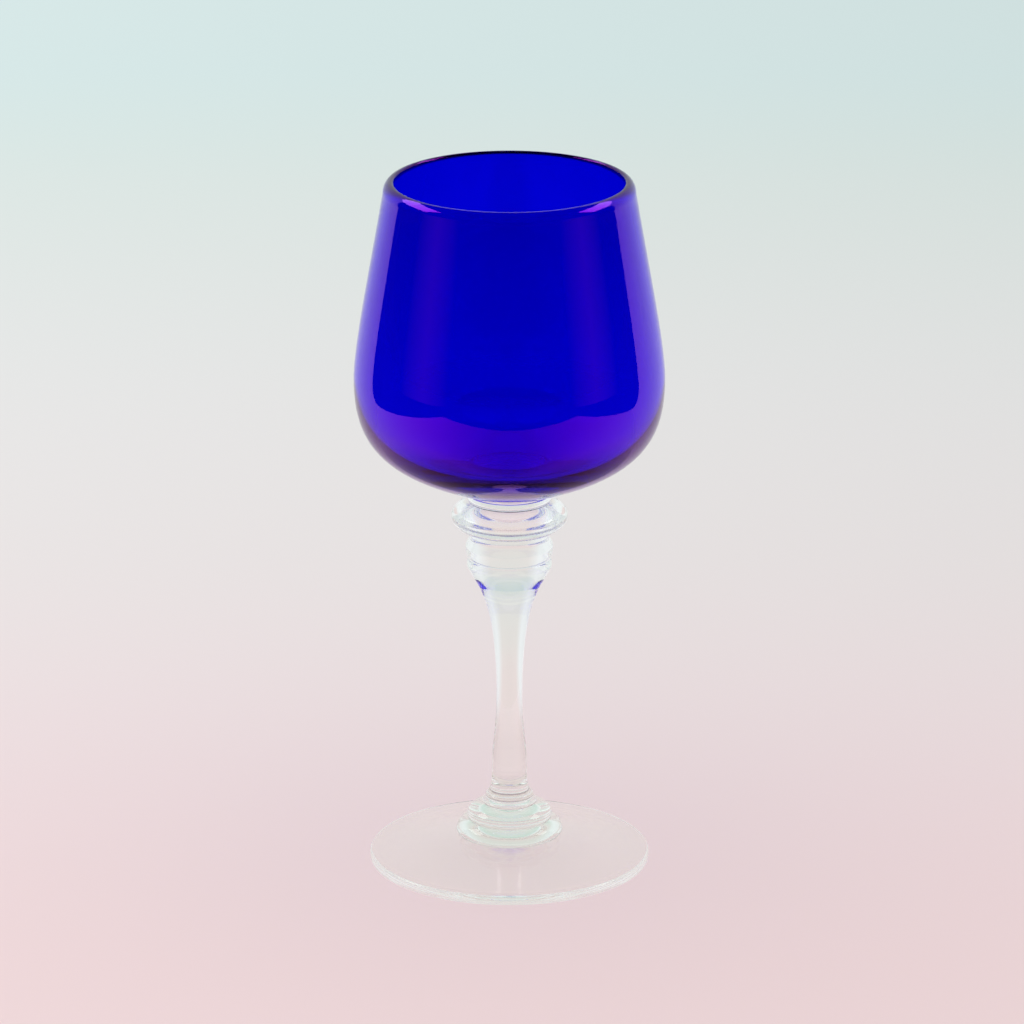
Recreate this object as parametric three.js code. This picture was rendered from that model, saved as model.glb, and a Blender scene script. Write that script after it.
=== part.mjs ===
// A stemmed white wine glass: a cobalt blue bowl on a tooled clear stem and a round foot.
// It is made hot, in eight bits of glass that are welded one on top of the other on the axis.
// Millimetres, +Z up. The origin is the middle of the ring that the foot stands on, on the table.
import * as THREE from "three";

// How far a flat facet may fall short of the true curve.
const CHORD_ERROR = 0.05;

// Foot: a thin round disc that rises towards the middle, hollow below, and stands on a flat ring at its edge.
const FOOT_RADIUS = 37;
const FOOT_EDGE_THICKNESS = 2.6;
const FOOT_EDGE_ROUND = 0.8;
const FOOT_HEIGHT = 6.9;
const FOOT_SAG = 0.3;
const FOOT_REST_WIDTH = 3;
const FOOT_HOLLOW_HEIGHT = 4.6;
const FOOT_HOLLOW_FLAT = 12;
const FOOT_HOLLOW_SLOPE = 0.15;
const FOOT_HOLLOW_REACH = 10;

// Foot dome: a button in two tiers, a wide bead with a smaller cap on it.
const DOME_SEAT_RADIUS = 12.5;
const DOME_BEAD_RADIUS = 14;
const DOME_BEAD_CREST = 1.1;
const DOME_BEAD_HEIGHT = 4.4;
const DOME_STEP_RADIUS = 10.8;
const DOME_CAP_RADIUS = 11.25;
const DOME_CAP_CREST = 0.9;
const DOME_CAP_HEIGHT = 4.1;

// Base collar: two small rings, the upper one narrower.
const COLLAR_SEAT_RADIUS = 6.8;
const COLLAR_LOWER_RADIUS = 7.25;
const COLLAR_LOWER_HEIGHT = 1.3;
const COLLAR_GROOVE_RADIUS = 5.9;
const COLLAR_UPPER_RADIUS = 6.35;
const COLLAR_UPPER_HEIGHT = 1.9;

// Stem: flared at the base, an ankle, a slim waist, and a trumpet up to the knop.
const STEM_BASE_RADIUS = 5.6;
const STEM_FLARE_HEIGHT = 7;
const ANKLE_RADIUS = 4.6;
const LEG_HEIGHT = 19.5;
const WAIST_RADIUS = 3.45;
const TRUMPET_HEIGHT = 31.8;
const TRUMPET_SLENDER_HEIGHT = 17;
const TRUMPET_MOUTH_HEIGHT = 6;
const TRUMPET_MOUTH_FLARE = 0.54;
const STEM_TOP_RADIUS = 8.6;

// Knop: a bevel up to a low ring, a groove, a second ring, and a neck drawn in to the merese.
const KNOP_LOWER_RADIUS = 11.15;
const KNOP_BEVEL_HEIGHT = 4;
const KNOP_LOWER_CREST = 4.9;
const KNOP_GROOVE_RADIUS = 10.6;
const KNOP_GROOVE_LEVEL = 6.8;
const KNOP_UPPER_RADIUS = 11.5;
const KNOP_UPPER_CREST = 9.9;
const KNOP_NECK_RADIUS = 10.1;
const KNOP_HEIGHT = 14.5;

// Merese: the wide rounded ring under the bowl.
const MERESE_RADIUS = 15.25;
const MERESE_CREST = 3.9;
const MERESE_HEIGHT = 7.6;

// Neck wafer: the small bit between the merese and the bowl.
const NECK_SEAT_RADIUS = 9.7;
const NECK_RADIUS = 11.1;
const NECK_HEIGHT = 2.6;

// Bowl: widest low down, drawn in to the rim, with a thick base and a wall that is thinnest at the belly.
const BOWL_SEAT_RADIUS = 10.5;
const BELLY_RADIUS = 40.5;
const BELLY_LEVEL = 30.8;
const BOWL_HEIGHT = 83.9;
const RIM_RADIUS = 32.7;
const RIM_TAPER = 0.167;
const RIM_WALL = 2.85;
const BELLY_WALL = 1.5;
const BASE_THICKNESS = 7.2;
const LIP_OUTER_ROUND = 3.2;
const LIP_INNER_ROUND = 0.6;
const BOWL_FLOOR_REACH = 20.5;
const BOWL_FLOOR_RISE = 7.8;
const BOWL_INSIDE_REACH = 25.5;
const BELLY_HANDLE_DOWN = 19.3;
const BELLY_HANDLE_UP = 9;
const RIM_HANDLE = 18.7;

const QUARTER_TURN = Math.PI / 2;
const BEND_SAMPLES = 16;

// Starts an outline on the axis and goes out along the flat underside.
function outlineFrom(seatRadius) {
  const outline = new THREE.Path();
  outline.moveTo(0, 0);
  outline.lineTo(seatRadius, 0);
  return outline;
}

// A quarter round from the outline's end out to a crest, where it stands upright.
function swellTo(outline, radius, level) {
  const { x, y } = outline.currentPoint;
  outline.absellipse(x, level, radius - x, level - y, -QUARTER_TURN, 0);
}

// A quarter round from a crest in to a crease, where it lies level.
function roundOffTo(outline, radius, level) {
  const { x, y } = outline.currentPoint;
  outline.absellipse(radius, y, x - radius, level - y, 0, QUARTER_TURN);
}

// Closes an outline along its flat top.
function closeFlat(outline) {
  outline.lineTo(0, outline.currentPoint.y);
  return outline;
}

function footOutline() {
  const edgeRound = Math.min(FOOT_EDGE_ROUND, FOOT_EDGE_THICKNESS / 2);
  const edgeCentre = FOOT_RADIUS - edgeRound;
  const hollowRadius = edgeCentre - FOOT_REST_WIDTH;
  const outline = new THREE.Path();
  outline.moveTo(0, FOOT_HOLLOW_HEIGHT);
  outline.bezierCurveTo(
    FOOT_HOLLOW_FLAT,
    FOOT_HOLLOW_HEIGHT,
    hollowRadius - FOOT_HOLLOW_REACH,
    FOOT_HOLLOW_REACH * FOOT_HOLLOW_SLOPE,
    hollowRadius,
    0,
  );
  outline.lineTo(edgeCentre, 0);
  swellTo(outline, FOOT_RADIUS, edgeRound);
  outline.lineTo(FOOT_RADIUS, FOOT_EDGE_THICKNESS - edgeRound);
  roundOffTo(outline, edgeCentre, FOOT_EDGE_THICKNESS);
  outline.quadraticCurveTo(
    (edgeCentre + DOME_SEAT_RADIUS) / 2,
    (FOOT_EDGE_THICKNESS + FOOT_HEIGHT) / 2 - FOOT_SAG,
    DOME_SEAT_RADIUS,
    FOOT_HEIGHT,
  );
  return closeFlat(outline);
}

function domeOutline() {
  const outline = outlineFrom(DOME_SEAT_RADIUS);
  swellTo(outline, DOME_BEAD_RADIUS, DOME_BEAD_CREST);
  roundOffTo(outline, DOME_STEP_RADIUS, DOME_BEAD_HEIGHT);
  swellTo(outline, DOME_CAP_RADIUS, DOME_BEAD_HEIGHT + DOME_CAP_CREST);
  roundOffTo(outline, COLLAR_SEAT_RADIUS, DOME_BEAD_HEIGHT + DOME_CAP_HEIGHT);
  return closeFlat(outline);
}

function collarOutline() {
  const outline = outlineFrom(COLLAR_SEAT_RADIUS);
  swellTo(outline, COLLAR_LOWER_RADIUS, COLLAR_LOWER_HEIGHT / 2);
  roundOffTo(outline, COLLAR_GROOVE_RADIUS, COLLAR_LOWER_HEIGHT);
  swellTo(outline, COLLAR_UPPER_RADIUS, COLLAR_LOWER_HEIGHT + COLLAR_UPPER_HEIGHT / 2);
  roundOffTo(outline, STEM_BASE_RADIUS, COLLAR_LOWER_HEIGHT + COLLAR_UPPER_HEIGHT);
  return closeFlat(outline);
}

function stemOutline() {
  const waistLevel = STEM_FLARE_HEIGHT + LEG_HEIGHT;
  const topLevel = waistLevel + TRUMPET_HEIGHT;
  const outline = outlineFrom(STEM_BASE_RADIUS);
  outline.quadraticCurveTo(ANKLE_RADIUS, STEM_FLARE_HEIGHT / 3, ANKLE_RADIUS, STEM_FLARE_HEIGHT);
  outline.bezierCurveTo(
    ANKLE_RADIUS,
    STEM_FLARE_HEIGHT + LEG_HEIGHT / 3,
    WAIST_RADIUS,
    waistLevel - LEG_HEIGHT / 2,
    WAIST_RADIUS,
    waistLevel,
  );
  outline.bezierCurveTo(
    WAIST_RADIUS,
    waistLevel + TRUMPET_SLENDER_HEIGHT,
    STEM_TOP_RADIUS - TRUMPET_MOUTH_FLARE * TRUMPET_MOUTH_HEIGHT,
    topLevel - TRUMPET_MOUTH_HEIGHT,
    STEM_TOP_RADIUS,
    topLevel,
  );
  return closeFlat(outline);
}

function knopOutline() {
  const neckHeight = KNOP_HEIGHT - KNOP_UPPER_CREST;
  const outline = outlineFrom(STEM_TOP_RADIUS);
  outline.quadraticCurveTo(KNOP_LOWER_RADIUS, KNOP_BEVEL_HEIGHT, KNOP_LOWER_RADIUS, KNOP_LOWER_CREST);
  roundOffTo(outline, KNOP_GROOVE_RADIUS, KNOP_GROOVE_LEVEL);
  swellTo(outline, KNOP_UPPER_RADIUS, KNOP_UPPER_CREST);
  outline.bezierCurveTo(
    KNOP_UPPER_RADIUS,
    KNOP_UPPER_CREST + neckHeight / 4,
    KNOP_NECK_RADIUS,
    KNOP_UPPER_CREST + neckHeight / 2,
    KNOP_NECK_RADIUS,
    KNOP_HEIGHT,
  );
  return closeFlat(outline);
}

function mereseOutline() {
  const outline = outlineFrom(KNOP_NECK_RADIUS);
  swellTo(outline, MERESE_RADIUS, MERESE_CREST);
  roundOffTo(outline, NECK_SEAT_RADIUS, MERESE_HEIGHT);
  return closeFlat(outline);
}

function neckOutline() {
  const outline = outlineFrom(NECK_SEAT_RADIUS);
  swellTo(outline, NECK_RADIUS, NECK_HEIGHT / 2);
  roundOffTo(outline, BOWL_SEAT_RADIUS, NECK_HEIGHT);
  return closeFlat(outline);
}

// Up the outside of the bowl, over the lip, and down the inside to the middle of its floor.
function bowlOutline() {
  const outerLipLevel = BOWL_HEIGHT - LIP_OUTER_ROUND;
  const innerLipLevel = BOWL_HEIGHT - LIP_INNER_ROUND;
  const innerRim = RIM_RADIUS - RIM_WALL;
  const innerBelly = BELLY_RADIUS - BELLY_WALL;
  const rimSpread = RIM_TAPER * RIM_HANDLE;
  const outline = outlineFrom(BOWL_SEAT_RADIUS);
  outline.bezierCurveTo(
    BOWL_SEAT_RADIUS + BOWL_FLOOR_REACH,
    BOWL_FLOOR_RISE,
    BELLY_RADIUS,
    BELLY_LEVEL - BELLY_HANDLE_DOWN,
    BELLY_RADIUS,
    BELLY_LEVEL,
  );
  outline.bezierCurveTo(
    BELLY_RADIUS,
    BELLY_LEVEL + BELLY_HANDLE_UP,
    RIM_RADIUS + rimSpread,
    outerLipLevel - RIM_HANDLE,
    RIM_RADIUS,
    outerLipLevel,
  );
  roundOffTo(outline, innerRim + LIP_INNER_ROUND, BOWL_HEIGHT);
  outline.absarc(
    innerRim + LIP_INNER_ROUND,
    innerLipLevel,
    LIP_INNER_ROUND,
    QUARTER_TURN,
    2 * QUARTER_TURN,
  );
  outline.bezierCurveTo(
    innerRim + rimSpread,
    innerLipLevel - RIM_HANDLE,
    innerBelly,
    BELLY_LEVEL + BELLY_HANDLE_UP,
    innerBelly,
    BELLY_LEVEL,
  );
  outline.bezierCurveTo(
    innerBelly,
    BELLY_LEVEL - BELLY_HANDLE_DOWN,
    BOWL_INSIDE_REACH,
    BASE_THICKNESS,
    0,
    BASE_THICKNESS,
  );
  return outline;
}

// How far a curve turns from end to end, counting both ways.
function bendOf(curve) {
  let bend = 0;
  let heading = curve.getTangent(0);
  for (let sample = 1; sample <= BEND_SAMPLES; sample += 1) {
    const next = curve.getTangent(sample / BEND_SAMPLES);
    bend += heading.angleTo(next);
    heading = next;
  }
  return bend;
}

// The outline as points, set close enough to follow its curves.
function pointsAlong(outline) {
  const points = [outline.curves[0].getPoint(0)];
  for (const curve of outline.curves) {
    const sag = (curve.getLength() * bendOf(curve)) / 8;
    const steps = Math.max(1, Math.ceil(Math.sqrt(sag / CHORD_ERROR)));
    points.push(...curve.getPoints(steps).slice(1));
  }
  return points;
}

// Turns an outline round the axis, with enough facets for its widest circle.
function turned(outline) {
  const points = pointsAlong(outline);
  const widest = Math.max(...points.map((point) => point.x));
  const quarterFacets = Math.ceil(QUARTER_TURN / (2 * Math.acos(1 - CHORD_ERROR / widest)));
  return new THREE.LatheGeometry(points, 4 * quarterFacets).rotateX(QUARTER_TURN);
}

function cobaltGlass() {
  return new THREE.MeshStandardMaterial({ color: 0x0a06b4, roughness: 0.05, metalness: 0 });
}

function clearGlass() {
  return new THREE.MeshStandardMaterial({ color: 0xe4ebe6, roughness: 0.04, metalness: 0 });
}

// The pieces from the table up, each standing on the one before it.
const pieces = [
  ["foot", footOutline(), clearGlass()],
  ["foot_dome", domeOutline(), clearGlass()],
  ["base_collar", collarOutline(), clearGlass()],
  ["stem", stemOutline(), clearGlass()],
  ["knop", knopOutline(), clearGlass()],
  ["merese_ring", mereseOutline(), clearGlass()],
  ["neck_wafer", neckOutline(), clearGlass()],
  ["bowl", bowlOutline(), cobaltGlass()],
];

const glass = new THREE.Group();
let level = 0;
for (const [name, outline, material] of pieces) {
  const piece = new THREE.Mesh(turned(outline), material);
  piece.name = name;
  piece.position.z = level;
  glass.add(piece);
  level += outline.currentPoint.y;
}

export default glass;
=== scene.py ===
# A stemmed white wine glass: a cobalt blue bowl on a tooled clear stem and a round foot.
# The sections follow the glass as it is put together, from the table up, and then the studio round it.
import math

import bpy
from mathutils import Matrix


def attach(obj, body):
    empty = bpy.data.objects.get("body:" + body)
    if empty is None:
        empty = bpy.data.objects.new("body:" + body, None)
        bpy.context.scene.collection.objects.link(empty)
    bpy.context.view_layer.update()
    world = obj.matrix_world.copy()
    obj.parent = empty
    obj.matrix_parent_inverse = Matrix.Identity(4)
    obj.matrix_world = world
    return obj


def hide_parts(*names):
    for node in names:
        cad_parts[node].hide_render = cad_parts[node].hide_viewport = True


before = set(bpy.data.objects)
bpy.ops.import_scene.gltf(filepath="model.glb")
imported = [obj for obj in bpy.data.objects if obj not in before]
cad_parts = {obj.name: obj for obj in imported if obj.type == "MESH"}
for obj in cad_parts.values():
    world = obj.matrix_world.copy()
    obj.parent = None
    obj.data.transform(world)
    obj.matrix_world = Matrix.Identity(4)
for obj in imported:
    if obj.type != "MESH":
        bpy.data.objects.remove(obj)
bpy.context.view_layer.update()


# Foot: the thin round disc that the glass stands on, spread out of one gather of clear soda-lime glass.
# It rises to the middle and is hollow below, so it stands on a flat ring at its fire-polished edge.
# The dome is welded to the middle of it while both are hot.
foot_radius = 37
foot_edge_thickness = 2.6
foot_edge_round = 0.8
foot_height = 6.9
foot_sag = 0.3
foot_rest_width = 3
foot_hollow_height = 4.6
foot_hollow_flat = 12
foot_hollow_slope = 0.15
foot_hollow_reach = 10
dome_seat_radius = 12.5
foot_facets = 256
millimetre = 0.001


class Outline:
    """Half the section of a turned piece in millimetres, out from the axis along the underside and back to it."""

    sag = 0.003
    most_bend = math.radians(5)
    least_crease = math.radians(15)
    trial_steps = 96
    melt_steps = 10

    def __init__(self, level, seat_radius):
        """Starts on the axis and goes out along the flat seat."""
        self.runs = [[(0.0, level), (seat_radius, level)]]

    @property
    def end(self):
        return self.runs[-1][-1]

    def follow(self, place):
        """Adds a curve, given as a function of 0 to 1, in so many steps that no chord sags far from it."""
        trial = [place(i / self.trial_steps) for i in range(self.trial_steps + 1)]
        headings = [math.atan2(b[1] - a[1], b[0] - a[0]) for a, b in zip(trial, trial[1:])]
        bend = sum(abs(math.remainder(b - a, math.tau)) for a, b in zip(headings, headings[1:]))
        length = sum(map(math.dist, trial, trial[1:]))
        steps = math.sqrt(length * bend / 8 / self.sag)
        steps = max(2, math.ceil(steps), math.ceil(bend / self.most_bend))
        self.runs.append([place(i / steps) for i in range(steps + 1)])

    def straight(self, radius, level):
        self.runs.append([self.end, (radius, level)])

    def swell(self, radius, level):
        """A quarter round out to a crest, where it stands upright."""
        x, z = self.end
        quarter = math.pi / 2
        self.follow(lambda t: (
            x + (radius - x) * math.sin(t * quarter), level - (level - z) * math.cos(t * quarter)))

    def round_off(self, radius, level):
        """A quarter round from a crest in to a crease, where it lies level."""
        x, z = self.end
        quarter = math.pi / 2
        self.follow(lambda t: (
            radius + (x - radius) * math.cos(t * quarter), z + (level - z) * math.sin(t * quarter)))

    def sweep(self, *controls):
        """A drawn curve that leaves towards the first control and arrives from the one before the last."""
        start = self.end

        def place(t):
            points = [start, *controls]
            while len(points) > 1:
                points = [(a[0] + (b[0] - a[0]) * t, a[1] + (b[1] - a[1]) * t) for a, b in zip(points, points[1:])]
            return points[0]

        self.follow(place)

    def softened(self, reach):
        """The points of the outline, with the creases between its runs melted over a short reach on both sides."""
        def cut_back(run):
            kept = list(run)
            left = reach
            while len(kept) > 2 and math.dist(kept[-1], kept[-2]) <= left:
                left -= math.dist(kept[-1], kept[-2])
                kept.pop()
            share = min(0.5, left / math.dist(kept[-1], kept[-2]))
            kept[-1] = tuple(a + (b - a) * share for a, b in zip(kept[-1], kept[-2]))
            return kept

        points = list(self.runs[0])
        for before, run in zip(self.runs, self.runs[1:]):
            turn = math.atan2(run[1][1] - run[0][1], run[1][0] - run[0][0])
            turn -= math.atan2(before[-1][1] - before[-2][1], before[-1][0] - before[-2][0])
            if abs(math.remainder(turn, math.tau)) < self.least_crease or before is self.runs[0]:
                points += run[1:]
                continue
            crease = run[0]
            points = cut_back(points)
            run = cut_back(run[::-1])[::-1]
            start, finish = points[-1], run[0]
            for i in range(1, self.melt_steps):
                t = i / self.melt_steps
                points.append(tuple(
                    a * (1 - t) ** 2 + c * 2 * t * (1 - t) + b * t * t for a, c, b in zip(start, crease, finish)))
            points += run
        return points + [(0.0, points[-1][1])] if points[-1][0] > 0 else points


class Wire:
    """One output in a node tree, so that sums of values read as sums."""

    def __init__(self, tree, socket=None):
        self.tree = tree
        self.socket = socket

    def node(self, kind, settings=None, sockets=None, output=0):
        """Adds a node, its settings first, and then the values or wires of its sockets."""
        made = self.tree.nodes.new(kind)
        for name, value in (settings or {}).items():
            if name == "stops":
                made.color_ramp.interpolation = "B_SPLINE"
                ramp = made.color_ramp.elements
                for place, colour in value[len(ramp):]:
                    ramp.new(place)
                for stop, (place, colour) in zip(ramp, value):
                    stop.position = place
                    stop.color = colour
            else:
                setattr(made, name, value)
        for name, value in (sockets or {}).items():
            if isinstance(value, Wire):
                self.tree.links.new(value.socket, made.inputs[name])
            else:
                made.inputs[name].default_value = value
        return Wire(self.tree, made.outputs[output] if made.outputs else None)

    def maths(self, operation, first, second=0.0):
        return self.node("ShaderNodeMath", {"operation": operation}, {0: first, 1: second})

    def held(self):
        """The value, kept between 0 and 1."""
        return self.maths("MINIMUM", self.maths("MAXIMUM", self, 0.0), 1.0)

    def along(self, axis):
        """How far a place lies along one axis."""
        return self.node("ShaderNodeSeparateXYZ", None, {0: self}, axis)

    def ray(self, fact):
        """What is known of the ray that meets the surface."""
        return self.node("ShaderNodeLightPath", output=fact)

    def blend(self, share, first, second):
        """The first colour, giving way to the second by the share."""
        return self.node("ShaderNodeMix", {"data_type": "RGBA"}, {"Factor": share, 6: first, 7: second}, 2)

    def __add__(self, other):
        return self.maths("ADD", self, other)

    def __sub__(self, other):
        return self.maths("SUBTRACT", self, other)

    def __rsub__(self, other):
        return self.maths("SUBTRACT", other, self)

    def __mul__(self, other):
        return self.maths("MULTIPLY", self, other)

    def __truediv__(self, other):
        return self.maths("DIVIDE", self, other)

    def __mod__(self, other):
        return self.maths("FLOORED_MODULO", self, other)

    def __lt__(self, other):
        return self.maths("LESS_THAN", self, other)

    def __gt__(self, other):
        return self.maths("GREATER_THAN", self, other)

    __radd__ = __add__
    __rmul__ = __mul__


def turning_tree():
    """Turns an outline about the axis, as the tools do on the hot glass, and gives its welds their own finish.

    The welds are the flat seats, which are the first and the last row of faces along the outline.
    """
    seam_gap = 1e-7
    tree = bpy.data.node_groups.new("turn_on_the_axis", "GeometryNodeTree")
    for name, kind in (
        ("Outline", "NodeSocketGeometry"), ("Facets", "NodeSocketInt"), ("Welded below", "NodeSocketBool"),
        ("Welded above", "NodeSocketBool"), ("Glass", "NodeSocketMaterial"), ("Weld", "NodeSocketMaterial"),
    ):
        tree.interface.new_socket(name, in_out="INPUT", socket_type=kind)
    tree.interface.new_socket("Piece", in_out="OUTPUT", socket_type="NodeSocketGeometry")
    given = tree.nodes.new("NodeGroupInput")
    outline, facets, below, above, glass, weld = (Wire(tree, socket) for socket in given.outputs[:6])
    count = outline.node("GeometryNodeAttributeDomainSize", {"component": "MESH"}, {"Geometry": outline})
    index = outline.node("GeometryNodeInputIndex")
    place = outline.node("GeometryNodeSampleIndex", {"data_type": "FLOAT_VECTOR", "domain": "POINT"}, {
        "Geometry": outline, "Value": outline.node("GeometryNodeInputPosition"), "Index": index % count})
    turn = outline.maths("FLOOR", index / count) * math.tau / facets
    radius, level = place.along("X"), place.along("Z")
    ring = outline.node("ShaderNodeCombineXYZ", None, {
        "X": radius * outline.maths("COSINE", turn), "Y": radius * outline.maths("SINE", turn), "Z": level})
    skin = outline.node("GeometryNodeMeshGrid", None, {"Vertices X": facets + 1, "Vertices Y": count})
    skin = outline.node("GeometryNodeSetPosition", None, {"Geometry": skin, "Position": ring})
    row = index % (count - 1)
    welded = (row < 0.5) * below + (row > count - 2.5) * above
    skin = outline.node("GeometryNodeStoreNamedAttribute", {"data_type": "BOOLEAN", "domain": "FACE"}, {
        "Geometry": skin, "Name": "welded", "Value": welded})
    skin = outline.node("GeometryNodeMergeByDistance", None, {"Geometry": skin, "Distance": seam_gap})
    skin = outline.node("GeometryNodeSetShadeSmooth", None, {"Geometry": skin, "Shade Smooth": True})
    skin = outline.node("GeometryNodeRealizeInstances", None, {"Geometry": skin})
    skin = outline.node("GeometryNodeSetMaterial", None, {"Geometry": skin, "Material": glass})
    skin = outline.node("GeometryNodeSetMaterial", None, {
        "Geometry": skin, "Material": weld,
        "Selection": outline.node("GeometryNodeInputNamedAttribute", {"data_type": "BOOLEAN"}, {"Name": "welded"})})
    result = tree.nodes.new("NodeGroupOutput")
    tree.links.new(skin.socket, result.inputs["Piece"])
    return tree


turning = turning_tree()
sharp_edge = math.radians(40)


def turned(name, outline, facets, glass, weld, below=True, above=True, crease=0.3, shades=False):
    """One closed piece of glass, turned from its outline."""
    points = [(radius * millimetre, 0, level * millimetre) for radius, level in outline.softened(crease)]
    section = bpy.data.meshes.new(name)
    section.from_pydata(points, [(i, i + 1) for i in range(len(points) - 1)], [])
    piece = bpy.data.objects.new(name, section)
    bpy.context.scene.collection.objects.link(piece)
    lathe = piece.modifiers.new("turning", "NODES")
    lathe.node_group = turning
    sizes = {"Facets": facets, "Welded below": below, "Welded above": above, "Glass": glass, "Weld": weld}
    for socket in turning.interface.items_tree:
        if socket.name in sizes:
            lathe[socket.identifier] = sizes[socket.name]
    made = bpy.data.meshes.new_from_object(piece.evaluated_get(bpy.context.evaluated_depsgraph_get()))
    piece.modifiers.remove(lathe)
    piece.data = made
    made.name = name
    made.attributes.remove(made.attributes["welded"])
    made.set_sharp_from_angle(angle=sharp_edge)
    piece.visible_diffuse = piece.visible_shadow = shades
    return piece


glass_ior = 1.5
smear_roughness = 0.02


def new_finish(name):
    """A material with nothing in it yet, and a wire to build it with."""
    finish = bpy.data.materials.new(name)
    finish.use_nodes = True
    finish.node_tree.nodes.clear()
    return finish, Wire(finish.node_tree)


def clear_glass_finish(name, cord_tint, melt_tint):
    """Clear soda-lime glass: a breath of green, soft cords from the gathering, and a fire polish with few smears."""
    cord_scale = (70, 70, 45)
    smear_scale = 90.0
    ripple_strength, ripple_height = 0.02, 0.0006
    cord_share, melt_share = 0.3, 0.7
    finish, wire = new_finish(name)
    place = wire.node("ShaderNodeTexCoord", output="Object")
    cords = wire.node("ShaderNodeTexNoise", None, {
        "Vector": wire.node("ShaderNodeMapping", None, {"Vector": place, "Scale": cord_scale}),
        "Scale": 1.0, "Detail": 2.0})
    smears = wire.node("ShaderNodeTexNoise", None, {"Vector": place, "Scale": smear_scale, "Detail": 4.0})
    tint = wire.node("ShaderNodeValToRGB", {
        "stops": [(cord_share, cord_tint), (melt_share, melt_tint)]}, {"Fac": cords})
    ripple = wire.node("ShaderNodeBump", None, {
        "Strength": ripple_strength, "Distance": ripple_height, "Height": cords})
    surface = wire.node("ShaderNodeBsdfPrincipled", None, {
        "Base Color": tint, "Roughness": smears * smear_roughness, "IOR": glass_ior,
        "Transmission Weight": 1.0, "Normal": ripple})
    wire.node("ShaderNodeOutputMaterial", None, {"Surface": surface})
    return finish


def weld_finish():
    """Two bits of glass fused into one, which light crosses without a bend."""
    finish, wire = new_finish("fused_weld")
    wire.node("ShaderNodeOutputMaterial", None, {"Surface": wire.node("ShaderNodeBsdfTransparent")})
    return finish


clear_cord_tint, clear_melt_tint = (0.965, 0.985, 0.945, 1), (0.98, 0.99, 0.96, 1)
clear_glass = clear_glass_finish("clear_glass", clear_cord_tint, clear_melt_tint)
fused_weld = weld_finish()

foot_hollow_radius = foot_radius - foot_edge_round - foot_rest_width
foot_hollow_middle = foot_hollow_flat / 8
foot_outline = Outline(foot_hollow_height, foot_hollow_middle)
foot_outline.sweep(
    (foot_hollow_flat, foot_hollow_height),
    (foot_hollow_radius - foot_hollow_reach, foot_hollow_reach * foot_hollow_slope), (foot_hollow_radius, 0))
foot_outline.straight(foot_radius - foot_edge_round, 0)
foot_outline.swell(foot_radius, foot_edge_round)
foot_outline.straight(foot_radius, foot_edge_thickness - foot_edge_round)
foot_outline.round_off(foot_radius - foot_edge_round, foot_edge_thickness)
foot_outline.sweep(
    ((foot_radius - foot_edge_round + dome_seat_radius) / 2, (foot_edge_thickness + foot_height) / 2 - foot_sag),
    (dome_seat_radius, foot_height))
foot = turned("clear_foot", foot_outline, foot_facets, clear_glass, fused_weld, below=False)
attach(foot, "root")
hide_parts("foot")


# Foot dome: the two-tier button on the foot, a wide bead with a smaller cap drawn up out of it.
# It is clear glass, thick enough to show its green, shaped with the jacks and welded to the foot and the collar.
dome_bead_radius = 14
dome_bead_crest = 1.1
dome_bead_height = 4.4
dome_step_radius = 10.8
dome_cap_radius = 11.25
dome_cap_crest = 0.9
dome_height = 8.5
collar_seat_radius = 6.8
dome_facets = 192
thick_cord_tint, thick_melt_tint = (0.89, 0.955, 0.88, 1), (0.92, 0.97, 0.91, 1)

dome_outline = Outline(foot_height, dome_seat_radius)
dome_outline.swell(dome_bead_radius, foot_height + dome_bead_crest)
dome_outline.round_off(dome_step_radius, foot_height + dome_bead_height)
dome_outline.swell(dome_cap_radius, foot_height + dome_bead_height + dome_cap_crest)
dome_outline.round_off(collar_seat_radius, foot_height + dome_height)
thick_glass = clear_glass_finish("thick_clear_glass", thick_cord_tint, thick_melt_tint)
dome = turned("clear_dome", dome_outline, dome_facets, thick_glass, fused_weld)
dome.visible_shadow = True
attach(dome, "root")
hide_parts("foot_dome")


# Base collar: two small rings one above the other, the upper one narrower.
# It is a thread of clear glass laid round the foot of the stem and pinched, welded above and below.
collar_level = foot_height + dome_height
collar_lower_radius = 7.25
collar_lower_height = 1.3
collar_groove_radius = 5.9
collar_upper_radius = 6.35
collar_upper_height = 1.9
collar_crease = 0.2
collar_facets = 160
stem_base_radius = 5.6

collar_outline = Outline(collar_level, collar_seat_radius)
collar_outline.swell(collar_lower_radius, collar_level + collar_lower_height / 2)
collar_outline.round_off(collar_groove_radius, collar_level + collar_lower_height)
collar_outline.swell(collar_upper_radius, collar_level + collar_lower_height + collar_upper_height / 2)
collar_outline.round_off(stem_base_radius, collar_level + collar_lower_height + collar_upper_height)
collar = turned("clear_collar", collar_outline, collar_facets, clear_glass, fused_weld, crease=collar_crease)
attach(collar, "root")
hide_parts("base_collar")


# Stem: the slim leg, drawn down hot from the knop, so that it is flared at the base and a trumpet at the top.
# It is solid clear glass, welded to the collar below and the knop above.
stem_level = collar_level + collar_lower_height + collar_upper_height
stem_flare_height = 7
ankle_radius = 4.6
leg_height = 19.5
waist_radius = 3.45
trumpet_height = 31.8
trumpet_slender_height = 17
trumpet_mouth_height = 6
trumpet_mouth_flare = 0.54
stem_top_radius = 8.6
stem_facets = 160

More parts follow.
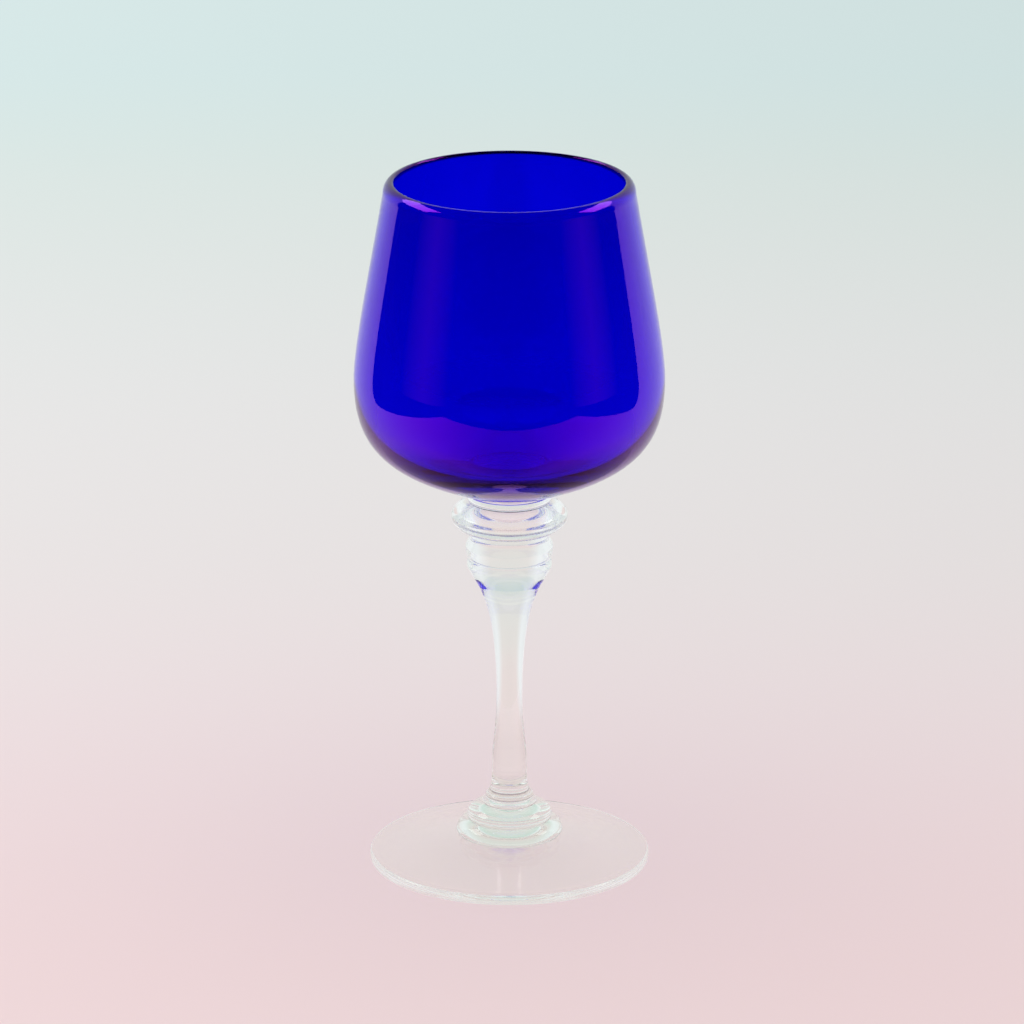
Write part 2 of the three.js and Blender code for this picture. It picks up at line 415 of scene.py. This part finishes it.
waist_level = stem_level + stem_flare_height + leg_height
knop_level = waist_level + trumpet_height
stem_outline = Outline(stem_level, stem_base_radius)
stem_outline.sweep(
    (ankle_radius, stem_level + stem_flare_height / 3), (ankle_radius, stem_level + stem_flare_height))
stem_outline.sweep(
    (ankle_radius, stem_level + stem_flare_height + leg_height / 3), (waist_radius, waist_level - leg_height / 2),
    (waist_radius, waist_level))
stem_outline.sweep(
    (waist_radius, waist_level + trumpet_slender_height),
    (stem_top_radius - trumpet_mouth_flare * trumpet_mouth_height, knop_level - trumpet_mouth_height),
    (stem_top_radius, knop_level))
stem = turned("clear_stem", stem_outline, stem_facets, clear_glass, fused_weld)
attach(stem, "root")
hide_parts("stem")


# Knop: the bulge under the ring, with two rings pinched in it and a neck drawn in above them.
# It is solid clear glass, tooled in one heat, and welded to the stem below and the merese above.
knop_lower_radius = 11.15
knop_bevel_height = 4
knop_lower_crest = 4.9
knop_groove_radius = 10.6
knop_groove_level = 6.8
knop_upper_radius = 11.5
knop_upper_crest = 9.9
knop_neck_radius = 10.1
knop_height = 14.5
knop_facets = 192

knop_neck_height = knop_height - knop_upper_crest
knop_outline = Outline(knop_level, stem_top_radius)
knop_outline.sweep(
    (knop_lower_radius, knop_level + knop_bevel_height), (knop_lower_radius, knop_level + knop_lower_crest))
knop_outline.round_off(knop_groove_radius, knop_level + knop_groove_level)
knop_outline.swell(knop_upper_radius, knop_level + knop_upper_crest)
knop_outline.sweep(
    (knop_upper_radius, knop_level + knop_upper_crest + knop_neck_height / 4),
    (knop_neck_radius, knop_level + knop_upper_crest + knop_neck_height / 2),
    (knop_neck_radius, knop_level + knop_height))
knop = turned("clear_knop", knop_outline, knop_facets, clear_glass, fused_weld)
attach(knop, "root")
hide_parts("knop")


# Merese: the wide rounded ring that carries the bowl.
# It is a blob of clear glass squeezed flat between the knop and the neck, and welded to both.
merese_level = knop_level + knop_height
merese_radius = 15.25
merese_crest = 3.9
merese_height = 7.6
neck_seat_radius = 9.7
merese_facets = 192

merese_outline = Outline(merese_level, knop_neck_radius)
merese_outline.swell(merese_radius, merese_level + merese_crest)
merese_outline.round_off(neck_seat_radius, merese_level + merese_height)
merese = turned("clear_merese", merese_outline, merese_facets, clear_glass, fused_weld)
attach(merese, "root")
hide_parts("merese_ring")


# Neck wafer: the small bit of clear glass between the merese and the bowl.
# It is what the hot bowl was set down on, so it is welded to the merese below and the bowl above.
neck_level = merese_level + merese_height
neck_radius = 11.1
neck_height = 2.6
bowl_seat_radius = 10.5
neck_facets = 192

neck_outline = Outline(neck_level, neck_seat_radius)
neck_outline.swell(neck_radius, neck_level + neck_height / 2)
neck_outline.round_off(bowl_seat_radius, neck_level + neck_height)
neck = turned("clear_neck", neck_outline, neck_facets, clear_glass, fused_weld)
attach(neck, "root")
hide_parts("neck_wafer")


# Bowl: blown cobalt glass, widest low down and drawn in to the rim, with a thick base and a fire-polished lip.
# The colour is in the glass itself, so the wall is a clear blue and the thick base is almost black.
# It is set on the neck wafer hot, with a hair's breadth left between the two skins.
bowl_level = neck_level + neck_height
weld_gap = 0.02
belly_radius = 40.5
belly_height = 30.8
bowl_height = 83.9
rim_radius = 32.7
rim_taper = 0.167
rim_wall = 2.85
belly_wall = 1.5
base_thickness = 7.2
lip_outer_round = 3.2
lip_inner_round = 0.6
bowl_floor_reach = 20.5
bowl_floor_rise = 7.8
bowl_inside_reach = 25.5
belly_handle_down = 19.3
belly_handle_up = 9
rim_handle = 18.7
bowl_facets = 256
belly_level = bowl_level + belly_height
rim_level = bowl_level + bowl_height


def cobalt_glass_finish():
    """Cobalt glass: it takes out red and green within a wall's thickness, and blue only in the thick base."""
    cord_scale = (30, 30, 12)
    smear_scale = 60.0
    ripple_strength, ripple_height = 0.03, 0.0015
    base_tint, belly_tint, rim_tint = (0.95, 0.95, 1.0, 1), (0.95, 0.95, 0.92, 1), (0.92, 0.92, 0.79, 1)
    base_share, belly_share, rim_share = 0.15, 0.4, 1.0
    cord_shift = 0.06
    # Painted reflection: the gloss is tinted violet, stronger in red and blue than plain glass gives.
    violet_gloss = (2.2, 0.03, 3.8, 1)
    cobalt_blue, cobalt_strength = (0.0, 0.0, 0.992, 1), 3200.0
    weld_depth = 3 * weld_gap
    finish, wire = new_finish("cobalt_glass")
    place = wire.node("ShaderNodeTexCoord", output="Object")
    cords = wire.node("ShaderNodeTexNoise", None, {
        "Vector": wire.node("ShaderNodeMapping", None, {"Vector": place, "Scale": cord_scale}),
        "Scale": 1.0, "Detail": 2.0})
    smears = wire.node("ShaderNodeTexNoise", None, {"Vector": place, "Scale": smear_scale, "Detail": 4.0})
    ripple = wire.node("ShaderNodeBump", None, {
        "Strength": ripple_strength, "Distance": ripple_height, "Height": cords})
    level = place.along("Z")
    rise = (level / millimetre - bowl_level) / (rim_level - bowl_level)
    tint = wire.node("ShaderNodeValToRGB", {"stops": [
        (base_share, base_tint), (belly_share, belly_tint), (rim_share, rim_tint)]}, {
            "Fac": rise + cord_shift * (cords - 0.5)})
    glass = wire.node("ShaderNodeBsdfPrincipled", None, {
        "Base Color": tint, "Roughness": smears * smear_roughness, "IOR": glass_ior, "Transmission Weight": 1.0,
        "Specular Tint": violet_gloss, "Normal": ripple})
    across = wire.node("ShaderNodeVectorMath", {"operation": "LENGTH"}, {
        0: wire.node("ShaderNodeVectorMath", {"operation": "MULTIPLY"}, {0: place, 1: (1, 1, 0)})}, "Value")
    weld = (level < (bowl_level + weld_depth) * millimetre) * (across < (bowl_seat_radius - weld_gap) * millimetre)
    surface = wire.node("ShaderNodeMixShader", None, {
        0: weld, 1: glass, 2: wire.node("ShaderNodeBsdfTransparent")})
    colour = wire.node("ShaderNodeVolumeAbsorption", None, {
        "Color": cobalt_blue, "Density": cobalt_strength})
    wire.node("ShaderNodeOutputMaterial", None, {"Surface": surface, "Volume": colour})
    return finish


cobalt_glass = cobalt_glass_finish()
outer_lip_level = rim_level - lip_outer_round
inner_lip_level = rim_level - lip_inner_round
inner_rim = rim_radius - rim_wall
inner_belly = belly_radius - belly_wall
rim_spread = rim_taper * rim_handle
bowl_outline = Outline(bowl_level + weld_gap, bowl_seat_radius)
bowl_outline.sweep(
    (bowl_seat_radius + bowl_floor_reach, bowl_level + bowl_floor_rise),
    (belly_radius, belly_level - belly_handle_down), (belly_radius, belly_level))
bowl_outline.sweep(
    (belly_radius, belly_level + belly_handle_up), (rim_radius + rim_spread, outer_lip_level - rim_handle),
    (rim_radius, outer_lip_level))
bowl_outline.round_off(inner_rim + lip_inner_round, rim_level)
bowl_outline.follow(lambda t: (
    inner_rim + lip_inner_round - lip_inner_round * math.sin(t * math.pi / 2),
    inner_lip_level + lip_inner_round * math.cos(t * math.pi / 2)))
bowl_outline.sweep(
    (inner_rim + rim_spread, inner_lip_level - rim_handle), (inner_belly, belly_level + belly_handle_up),
    (inner_belly, belly_level))
bowl_outline.sweep(
    (inner_belly, belly_level - belly_handle_down), (bowl_inside_reach, bowl_level + base_thickness),
    (0, bowl_level + base_thickness))
bowl = turned("cobalt_bowl", bowl_outline, bowl_facets, cobalt_glass, cobalt_glass, above=False, shades=True)
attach(bowl, "root")
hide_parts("bowl")


# Table: pale paper laid flat, pink near the glass and running to a cool white and a pale mint behind it.
# Camera and light meet one wide sheet, and for a mirroring skin of glass it is painted with shade, nearly black
# beyond a narrow sweep and near the glass, as in a dark studio.
# Rays that the glass has bent find it painted a little lighter behind the glass, and a painted cool white window
# light far to the sides.
table_reach = 3.0
table_drop = 0.00015
paper_left, paper_right, paper_front = -0.42, 0.44, -0.385
near_pink = (0.865, 0.692, 0.697, 1)
lilac_white = (0.850, 0.730, 0.742, 1)
warm_white = (0.799, 0.768, 0.760, 1)
cool_white = (0.783, 0.783, 0.783, 1)
pale_mint = (0.694, 0.776, 0.745, 1)
far_mint = (0.651, 0.783, 0.783, 1)
# Painted window light, for rays that the glass bends out to the sides.
painted_window_white = (0.89, 0.915, 0.955, 1)
# Painted shade for rays that the glass mirrors on to the paper.
painted_shade_black = (0.01, 0.01, 0.012, 1)
side_start, side_run = 0.05, 0.05


def to_the_sides(wire, across):
    """How far a ray that the glass has bent comes out to one side, where painted window light makes the paper a cool
    white.
    """
    aside = (wire.maths("ABSOLUTE", across) - side_start) / side_run
    return aside.held() * wire.ray("Is Transmission Ray")


def paper_finish():
    """Matt paper with painted light and shade: lighter on the left, darker to the right, and painted nearly black
    for a ray that the glass mirrors on to it near by.
    """
    paper_start = 0.15
    painted_left_light, painted_right_shade, fade_end = 0.95, 0.2, 0.5
    lift_start, lift_run, lift_most = 0.045, 0.03, 0.075
    short_ray, short_path = 0.09, 3.5
    foot_shade, stem_shade, stem_share = 0.038, 0.013, 0.35
    front_share, dark_reach = 0.75, 0.2
    finish, wire = new_finish("pale_paper")
    place = wire.node("ShaderNodeTexCoord", output="Object")
    across, depth = place.along("X"), place.along("Y")
    shade = wire.node("ShaderNodeValToRGB", {"stops": [
        (0.10, near_pink), (0.24, lilac_white), (0.40, warm_white),
        (0.60, cool_white), (0.84, pale_mint), (1.0, far_mint)]}, {"Fac": depth + paper_start})
    reach = wire.maths("SQRT", across * across + depth * depth)
    bounces, passes = wire.ray("Glossy Depth"), wire.ray("Transmission Depth")
    off_the_skin = (passes < 0.5) * (wire.ray("Ray Length") > short_ray)
    inside_the_glass = (bounces + passes < short_path) * (passes > 1.5) * (reach < foot_shade)
    inside_the_glass = inside_the_glass * wire.maths("MAXIMUM", reach > stem_shade, stem_share)
    mirrored = (bounces > 0.5) * (off_the_skin + inside_the_glass)
    front = wire.maths("MINIMUM", depth, 0.0) / reach
    sweep = (across > paper_left) * (across < paper_right) * (depth > paper_front)
    # Painted shade: for a mirrored ray the paper is painted nearly black off the narrow sweep, dimmer in front and
    # darker near the glass.
    painted_shade_share = wire.maths("MAXIMUM", 1 - sweep * (1 - front_share * front * front), 1 - reach / dark_reach)
    # Painted light: rays that the glass has bent find the paper behind the glass a little lighter.
    painted_lift = 1 + ((depth - lift_start) / lift_run).held() * wire.ray("Is Transmission Ray") * lift_most
    # Painted light and shade: the paper is lighter on the left and darker to the right.
    light = (painted_left_light - wire.maths("MINIMUM", across, fade_end) * painted_right_shade) * painted_lift
    shade = wire.node("ShaderNodeVectorMath", {"operation": "SCALE"}, {0: shade, "Scale": light})
    # Painted window light: to the sides, bent rays find the paper a cool white.
    shade = wire.blend(to_the_sides(wire, across), shade, painted_window_white)
    surface = wire.node("ShaderNodeMixShader", None, {
        0: mirrored * painted_shade_share,
        1: wire.node("ShaderNodeBsdfDiffuse", None, {"Color": shade}),
        2: wire.node("ShaderNodeBsdfDiffuse", None, {"Color": painted_shade_black})})
    wire.node("ShaderNodeOutputMaterial", None, {"Surface": surface})
    return finish


every_ray = ("camera", "diffuse", "glossy", "transmission", "shadow")
ring_sides = 96


def stand_in_studio(name, points, faces, finish, seen_by=every_ray):
    """A sheet that stands round the glass, and the kinds of ray that meet it."""
    sheet = bpy.data.meshes.new(name)
    sheet.from_pydata(points, [], faces)
    sheet.materials.append(finish)
    piece = bpy.data.objects.new(name, sheet)
    bpy.context.scene.collection.objects.link(piece)
    for ray in every_ray:
        setattr(piece, "visible_" + ray, ray in seen_by)


def ring_of(radius, level):
    turns = [math.tau * i / ring_sides for i in range(ring_sides)]
    return [(radius * math.cos(turn), radius * math.sin(turn), level) for turn in turns]


stand_in_studio("pale_paper", ring_of(table_reach, -table_drop), [tuple(range(ring_sides))], paper_finish())


# Backdrop: the sweep of the same paper that rises behind the glass, seen only by rays that the glass turns.
# It goes up in a round cove, a little nearer on the right than on the left, and ends in a mint green top.
backdrop_left, backdrop_right = 0.21, 0.125
backdrop_height = 0.36
backdrop_cove = 0.06
cove_steps = 8
leaf_mint = (0.52, 0.65, 0.56, 1)


def backdrop_finish():
    finish, wire = new_finish("backdrop_paper")
    place = wire.node("ShaderNodeTexCoord", output="Object")
    shade = wire.node("ShaderNodeValToRGB", {"stops": [
        (0.0, lilac_white), (0.08, warm_white), (0.24, cool_white), (0.39, pale_mint), (0.54, far_mint),
        (0.75, leaf_mint)]}, {"Fac": place.along("Z") / backdrop_height})
    # Painted window light: to the sides, bent rays find the backdrop a cool white.
    shade = wire.blend(to_the_sides(wire, place.along("X")), shade, painted_window_white)
    wire.node("ShaderNodeOutputMaterial", None, {
        "Surface": wire.node("ShaderNodeEmission", None, {"Color": shade})})
    return finish


backdrop_rows = [
    (backdrop_cove * (math.sin(turn) - 1), backdrop_cove * (1 - math.cos(turn)))
    for turn in (math.pi / 2 * i / cove_steps for i in range(cove_steps + 1))] + [(0, backdrop_height)]
stand_in_studio(
    "backdrop", [
        point for back, level in backdrop_rows for point in (
            (paper_left, backdrop_left + back, level), (paper_right, backdrop_right + back, level))],
    [(2 * i, 2 * i + 1, 2 * i + 3, 2 * i + 2) for i in range(len(backdrop_rows) - 1)],
    backdrop_finish(), ("glossy", "transmission"))


# Studio: the room round the glass. Its walls and ceiling are dark sheets of painted shade, standing in for the unlit
# room, which only mirror in the glass.
# A pale sky and a wide overhead light give the plain level, and two softboxes give the long highlights.
# Two dim glowing cards stand low in front, to the left and the right, and only mirror in the glass too, as painted
# reflections.
room_reach = 2.4
room_height = 2.6
room_shade_black = (0.008, 0.008, 0.01, 1)
card_reach, card_height = 0.95, 0.3
card_front, card_back = math.radians(44), math.radians(86)
card_glow = 0.15
sky_light = (0.935, 0.935, 0.935, 1)
sky_seen = (0.82, 0.89, 0.88, 1)
overhead_place = (0, 0.2, 3)
overhead_energy = 0.36
overhead_spread = math.radians(90)
softbox_across, softbox_back, softbox_level = 0.715, 0.38, 0.74
softbox_aim = (0, 0, 0.15)
softbox_length, softbox_width = 1.3, 0.45
softbox_energy = 5.5
softbox_tint = (0.88, 1.0, 0.94)

# Painted shade: dark sheets, seen only in the glass's mirror, stand in for the unlit room.
room_shade_sheet, wire = new_finish("room_shade_sheet")
wire.node("ShaderNodeOutputMaterial", None, {
    "Surface": wire.node("ShaderNodeBsdfDiffuse", None, {"Color": room_shade_black})})
stand_in_studio(
    "dark_walls", ring_of(room_reach, -table_drop) + ring_of(room_reach, room_height), [
        (i, (i + 1) % ring_sides, ring_sides + (i + 1) % ring_sides, ring_sides + i) for i in range(ring_sides)],
    room_shade_sheet, ("glossy",))
stand_in_studio(
    "dark_ceiling", ring_of(room_reach, room_height), [tuple(range(ring_sides))], room_shade_sheet, ("glossy",))

# Painted reflections: the cards glow, brightest midway along them, and only the glass's mirror sees them.
glowing_card, wire = new_finish("glowing_card")
place = wire.node("ShaderNodeTexCoord", output="Object")
turn = wire.maths("ARCTAN2", wire.maths("ABSOLUTE", place.along("X")), 0 - place.along("Y"))
off_middle = wire.maths("ABSOLUTE", turn - (card_front + card_back) / 2)
fade = wire.maths("MAXIMUM", 1 - off_middle / ((card_back - card_front) / 2), 0.0)
wire.node("ShaderNodeOutputMaterial", None, {
    "Surface": wire.node("ShaderNodeEmission", None, {"Color": (1, 1, 1, 1), "Strength": card_glow * fade})})

world = bpy.data.worlds.new("studio")
bpy.context.scene.world = world
world.use_nodes = True
world.node_tree.nodes.clear()
wire = Wire(world.node_tree)
seen = wire.maths("MAXIMUM", wire.ray("Is Camera Ray"), wire.ray("Is Glossy Ray"))
seen = wire.maths("MAXIMUM", seen, wire.ray("Is Transmission Ray"))
shade = wire.blend(seen, sky_light, sky_seen)
wire.node("ShaderNodeOutputWorld", None, {"Surface": wire.node("ShaderNodeBackground", None, {"Color": shade})})


def lamp(name, kind, location, aim, **settings):
    light = bpy.data.lights.new(name, kind)
    for setting, value in settings.items():
        setattr(light, setting, value)
    piece = bpy.data.objects.new(name, light)
    piece.location = location
    piece.rotation_euler = tuple(
        (piece.location - type(piece.location)(aim)).to_track_quat("Z", "Y").to_euler())
    bpy.context.scene.collection.objects.link(piece)
    return piece


overhead = lamp("overhead", "SUN", overhead_place, (0, 0, 0), energy=overhead_energy, angle=overhead_spread)
overhead.visible_glossy = False
for hand, side in (("left", -1), ("right", 1)):
    box = lamp(
        hand + "_softbox", "AREA", (softbox_across * side, softbox_back, softbox_level), softbox_aim,
        energy=softbox_energy, shape="RECTANGLE", size=softbox_length, size_y=softbox_width, color=softbox_tint)
    box.visible_diffuse = box.visible_transmission = False
    corners = (card_front, 0), (card_back, 0), (card_back, card_height), (card_front, card_height)
    stand_in_studio(
        hand + "_card", [
            (side * card_reach * math.sin(turn), -card_reach * math.cos(turn), level) for turn, level in corners],
        [(0, 1, 2, 3)], glowing_card, ("glossy",))


# Camera: a long lens in front of the glass, looking down on it at about eighteen degrees.
# Light is followed through many turns, because it runs far inside the foot before it comes out.
camera_sensor = 36
camera_lens = 235.2
camera_shift = 0.0025
camera_far = 50
camera_distance = 1.664
camera_level = 0.6343
camera_tilt = 17.927
most_turns = 128
most_welds = 64

camera = bpy.data.cameras.new("camera")
camera.sensor_width = camera_sensor
camera.lens = camera_lens
camera.clip_end = camera_far
camera.shift_x = camera_shift
eye = bpy.data.objects.new("camera", camera)
eye.location = (0, -camera_distance, camera_level)
eye.rotation_euler = (math.radians(90 - camera_tilt), 0, 0)
bpy.context.scene.collection.objects.link(eye)
bpy.context.scene.camera = eye

scene = bpy.context.scene
scene.view_settings.view_transform = "Standard"
scene.cycles.max_bounces = most_turns
scene.cycles.glossy_bounces = most_turns
scene.cycles.transmission_bounces = most_turns
scene.cycles.transparent_max_bounces = most_welds
